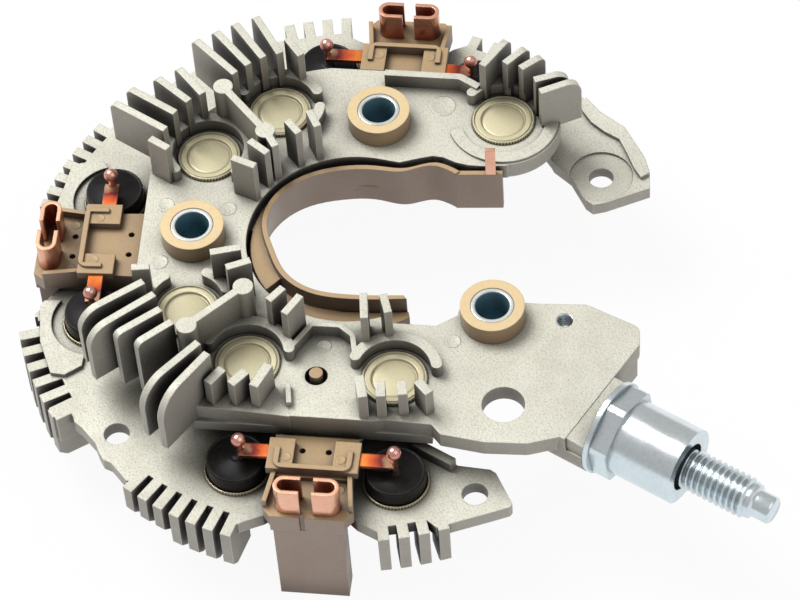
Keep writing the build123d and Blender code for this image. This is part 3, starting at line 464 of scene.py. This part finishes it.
def make_stud():
    """The output stud with a rolled thread, a plain core and a dog point."""
    start, shoulder, thread_start, thread_end, tip = 54.0, 65.2, 82.6, 96.6, 101.2
    profile = [(SHANK_R, start * MM), (SHANK_R, shoulder * MM), (CORE_R, shoulder * MM),
               (CORE_R, (thread_start - 0.05) * MM)]
    rows = 168
    for i in range(rows + 1):
        profile.append((STUD_R, (thread_start + (thread_end - thread_start) * i / rows) * MM))
    profile += [(3.4 * MM, (thread_end + 0.6) * MM), (2.9 * MM, (thread_end + 0.9) * MM),
                (DOG_R, (thread_end + 1.1) * MM), (DOG_R, (tip - 0.5) * MM),
                (DOG_R - 0.15 * MM, (tip - 0.2) * MM), (DOG_R - 0.45 * MM, tip * MM)]
    steps = 48

    def groove(radius, height, step):
        along = (height / MM - thread_start) / (thread_end - thread_start)
        if along < 0 or along > 1 or radius < STUD_R * 0.99:
            return radius
        turn = (height / THREAD_PITCH - step / steps) % 1
        cut = min(1.0, max(0.0, abs(2 * turn - 1) * 1.35 - 0.15))
        crest = radius - THREAD_DEPTH * (1 - cut)
        start_up = min(1, along * 30)
        run_out = min(1, (1 - along) * 14)
        return (CORE_R * (1 - start_up) + crest * start_up) * run_out + RUN_OUT_R * (1 - run_out)

    piece = lathe("threaded_stud", profile, ZINC, steps, stud_place(), groove)
    soften(piece, 40)
    keep(piece, "zinc", "output_stud")


def node_spot(name):
    """The middle of a node in plan."""
    low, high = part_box(name)
    return Matrix.Translation(((low[0] + high[0]) / 2, (low[1] + high[1]) / 2, 0))


def turned_piece(name, points, material, slot, place, node=None, teeth=0, tooth_depth=0.16,
                 steps=96):
    """A lathe piece from points in millimetres, with knurls where the radius is full.
    Each knurl takes four steps, two of them cut in."""
    full = max(radius for radius, height in points)
    steps = teeth * 4 if teeth else steps

    def knurl(radius, height, step):
        if not teeth or radius < (full - 0.02) * MM:
            return radius
        return radius - (tooth_depth * MM if step % 4 in (0, 1) else 0)

    profile = [(radius * MM, height * MM) for radius, height in points]
    piece = lathe(name, profile, material, steps, place, knurl)
    soften(piece, 30)
    keep(piece, slot, *([node] if node else []))


def make_diodes():
    """Knurled cups, resin and welded wires of the twelve diodes."""
    disc = [(radius, UPPER_TOP + height) for radius, height in (
        (CENTRE_R, -3), (5.9, -3), (5.9, -4.2), (CUP_R - 0.1, -4.15), (CUP_R - 0.1, -0.7),
        (CUP_R, -0.6), (CUP_R, 0.3), (CUP_R - 0.22, 0.56), (6.0, 0.68), (5.88, 0.66), (5.78, 0.4),
        (5.66, 0.4), (5.56, 0.56), (4.62, 0.54), (4.5, 0.46), (4.3, 0.1), (4.15, 0.02),
        (4.0, 0.12), (3.85, 0.14), (CENTRE_R, 0.14))]
    ring = [(CENTRE_R, -2.2), (5.8, -2.2), (6.15, -2.1), (CUP_R - 0.1, -1.85), (CUP_R - 0.1, 2.4),
            (CUP_R, 2.5), (CUP_R, 3.5), (CUP_R - 0.16, 3.7), (6.1, 3.75), (5.98, 3.6),
            (5.92, 3.3), (5.92, 2.1), (CENTRE_R, 2.1)]
    plug = [(CENTRE_R, 2.15), (5.88, 2.15), (5.88, 3.3), (5.7, 6.5), (5.46, 6.8), (5.3, 6.8),
            (5.2, 6.7), (1.5, 6.7), (1.1, 6.8), (0.8, 7.1), (CENTRE_R, 7.2)]
    wire = [(CENTRE_R, RESIN_TOP), (LEAD_R, RESIN_TOP), (LEAD_R, 10.7), (0.78, 11.0)]
    for degree in range(-56, 90, 8):
        wire.append((BALL_R * cos(radians(degree)), BALL_Z + BALL_R * sin(radians(degree))))
    for key in KEYS:
        upper, lower = f"positive_diode_{key}", f"negative_diode_{key}"
        turned_piece(f"cup_positive_{key}", disc, CUP, "cup", node_spot(upper + "_cup"),
                     upper + "_cup", teeth=KNURLS, tooth_depth=0.24)
        turned_piece(f"cup_negative_{key}", ring, RING, "cup", node_spot(lower + "_cup"),
                     lower + "_cup", teeth=KNURLS)
        turned_piece(f"resin_negative_{key}", plug, RESIN, "resin", node_spot(lower + "_cup"),
                     lower + "_resin")
        turned_piece(f"wire_negative_{key}", wire, BALL, "lead", node_spot(lower + "_lead"),
                     lower + "_lead", steps=40)


def at(x, y):
    """A place in plan, from millimetres."""
    return Matrix.Translation((x * MM, y * MM, 0))


def block_spot(angle, side, along, across):
    """A point on a terminal block, given along and across it."""
    c, s = cos(radians(angle)), sin(radians(angle))
    across += side
    return along * c - across * s, along * s + across * c


def make_marks():
    """Round marks that the ejector pins leave on the upper sink and on the terminal blocks."""
    spots = [(x, y, r, UPPER_TOP, CAST, "cast") for x, y, r in (
        (20.1, 32.0, 2.6), (-36.0, 11.9, 1.8), (-23.8, 9.7, 1.7), (-37.6, -2.3, 1.8),
        (-6.6, -25.9, 1.5), (17.9, -27.2, 1.6))]
    for angle, side in BLOCKS:
        for hand in (-1, 1):
            for along, across, top in ((50.6, 5.2, PAD_TOP), (55.6, 5.4, STEP_TOP)):
                spots.append((*block_spot(angle, side, along, hand * across), 1.05, top, MOULDING,
                              "moulding"))
    for number, (x, y, r, z, material, slot) in enumerate(spots):
        points = [(CENTRE_R, z - 0.3), (r, z - 0.3), (r, z + 0.03), (r - 0.08, z + 0.07),
                  (r - 0.2, z + 0.07), (r - 0.4, z + 0.02), (CENTRE_R, z + 0.02)]
        turned_piece(f"ejector_mark_{number}", points, material, slot, at(x, y), steps=40)


def make_sleeves():
    """Steel sleeves with chamfered mouths."""
    out, bore, top = SLEEVE_R, SLEEVE_BORE_R, SLEEVE_TOP
    loop = [(bore + 0.3, 0), (out - 0.2, 0), (out, 0.2), (out, top - 0.15), (out - 0.15, top),
            (bore + 0.2, top), (bore + 0.06, top - 0.12), (bore, top - 0.3), (bore, 0.3)]
    for key in "123":
        node = f"mounting_sleeve_{key}"
        piece = lathe(f"sleeve_{key}", [(r * MM, h * MM) for r, h in loop], SLEEVE, 96,
                      node_spot(node), loop=True)
        soften(piece, 30)
        keep(piece, "sleeve", node)


def make_boss_fillet():
    """The cast metal that runs from the top of the plate down to the stud's washer.
    Its two ends are given as the distance out along the stud and the height over its axis."""
    place = stud_place()
    reach, foot, rows = 9.02, 0.4, 16
    vertices, faces = [], []
    for out, crown in ((61.0, 3.12), (65.12, 2.75)):
        ring = []
        for i in range(rows + 1):
            angle = radians(180 - 180 * i / rows)
            rise = min(1, 2.6 * sin(angle))
            ring.append((reach * cos(angle), foot + (crown - foot) * rise))
        vertices += [place @ Vector((x * MM, y * MM, out * MM)) for x, y in ring]
    count = rows + 1
    faces.append(tuple(range(count)))
    faces.append(tuple(reversed(range(count, 2 * count))))
    for i in range(count):
        j = (i + 1) % count
        faces.append((i, i + count, j + count, j))
    piece = add_mesh("boss_fillet", vertices, faces, CAST)
    soften(piece, 30)
    keep(piece, "cast")


def make_tapped_thread():
    """The thread cut in the small hole, as a thin lining of it."""
    rows, steps = 84, 40
    low, high = UPPER_TOP - 3.65, UPPER_TOP - 0.05
    outer = TAPPED_R + 0.25
    loop = [(TAPPED_R, low + (high - low) * i / rows) for i in range(rows + 1)]
    loop += [(outer, high), (outer, low)]

    def thread(radius, height, step):
        if radius > (TAPPED_R + 0.1) * MM:
            return radius
        turn = (height / MM / TAPPED_PITCH - step / steps) % 1
        return radius - TAPPED_DEPTH * MM * (1 - abs(2 * turn - 1))

    piece = lathe("tapped_thread", [(r * MM, h * MM) for r, h in loop], ZINC, steps,
                  at(*TAPPED_HOLE), thread, loop=True)
    piece.data.flip_normals()
    soften(piece, 40)
    keep(piece, "cast")


make_stud()
make_diodes()
make_sleeves()
make_marks()
make_tapped_thread()
make_boss_fillet()


# Stage, light and camera

def make_floor():
    material = bpy.data.materials.new("studio_floor")
    material.use_nodes = True
    tree = material.node_tree
    shader = tree.nodes["Principled BSDF"]
    shader.inputs["Base Color"].default_value = (0.75, 0.75, 0.75, 1)
    shader.inputs["Roughness"].default_value = 0.9
    glow = tree.nodes.new("ShaderNodeEmission")
    glow.inputs["Color"].default_value = (1, 1, 1, 1)
    rays = tree.nodes.new("ShaderNodeLightPath")
    mixer = tree.nodes.new("ShaderNodeMixShader")
    seen = calc(tree.nodes, tree.links, "MAXIMUM", rays.outputs["Is Camera Ray"],
                rays.outputs["Is Glossy Ray"])
    tree.links.new(calc(tree.nodes, tree.links, "MULTIPLY", seen, FLOOR_GLOW), mixer.inputs[0])
    tree.links.new(shader.outputs[0], mixer.inputs[1])
    tree.links.new(glow.outputs[0], mixer.inputs[2])
    tree.links.new(mixer.outputs[0], tree.nodes["Material Output"].inputs["Surface"])
    corners = [(x * FLOOR_HALF, y * FLOOR_HALF, floor_z)
               for x, y in ((-1, -1), (1, -1), (1, 1), (-1, 1))]
    floor = add_mesh("floor", corners, [(0, 1, 2, 3)], material, smooth=False)


def add_light(name, spot, size, power):
    """A square lamp that points at the middle of the part, with its size in metres."""
    data = bpy.data.lights.new(name, "AREA")
    data.size = size
    data.energy = power
    lamp = bpy.data.objects.new(name, data)
    lamp.location = spot
    lamp.rotation_euler = (-Vector(spot)).to_track_quat("-Z", "Y").to_euler()
    bpy.context.scene.collection.objects.link(lamp)


def make_world():
    world = bpy.data.worlds.new("studio")
    world.use_nodes = True
    tree = world.node_tree
    background = tree.nodes["Background"]
    rays = tree.nodes.new("ShaderNodeLightPath")
    strength = spread(tree.nodes, tree.links, rays.outputs["Is Camera Ray"], 0, 1, AMBIENT,
                      BACKGROUND)
    background.inputs["Color"].default_value = (1, 1, 1, 1)
    tree.links.new(strength, background.inputs["Strength"])
    bpy.context.scene.world = world


def make_camera():
    back = Vector((0, -cos(VIEW_ELEVATION), sin(VIEW_ELEVATION)))
    up = Vector((0, sin(VIEW_ELEVATION), cos(VIEW_ELEVATION)))
    right = Vector((1, 0, 0))
    side = right * cos(VIEW_ROLL) + up * sin(VIEW_ROLL)
    head = up * cos(VIEW_ROLL) - right * sin(VIEW_ROLL)
    data = bpy.data.cameras.new("camera")
    data.lens = LENS
    data.sensor_width = SENSOR_WIDTH
    data.clip_end = 20
    camera = bpy.data.objects.new("camera", data)
    matrix = Matrix((side, head, back)).transposed().to_4x4()
    matrix.translation = VIEW_TARGET + back * VIEW_DISTANCE
    camera.matrix_world = matrix
    bpy.context.scene.collection.objects.link(camera)
    bpy.context.scene.camera = camera


make_floor()
make_world()
add_light("key_light", (-0.85, 0.72, 1.72), 1.15, 41.0)
add_light("fill_light", (0.5, -0.4, 0.7), 0.8, 1.8)
make_camera()
bpy.context.scene.view_settings.view_transform = "Standard"
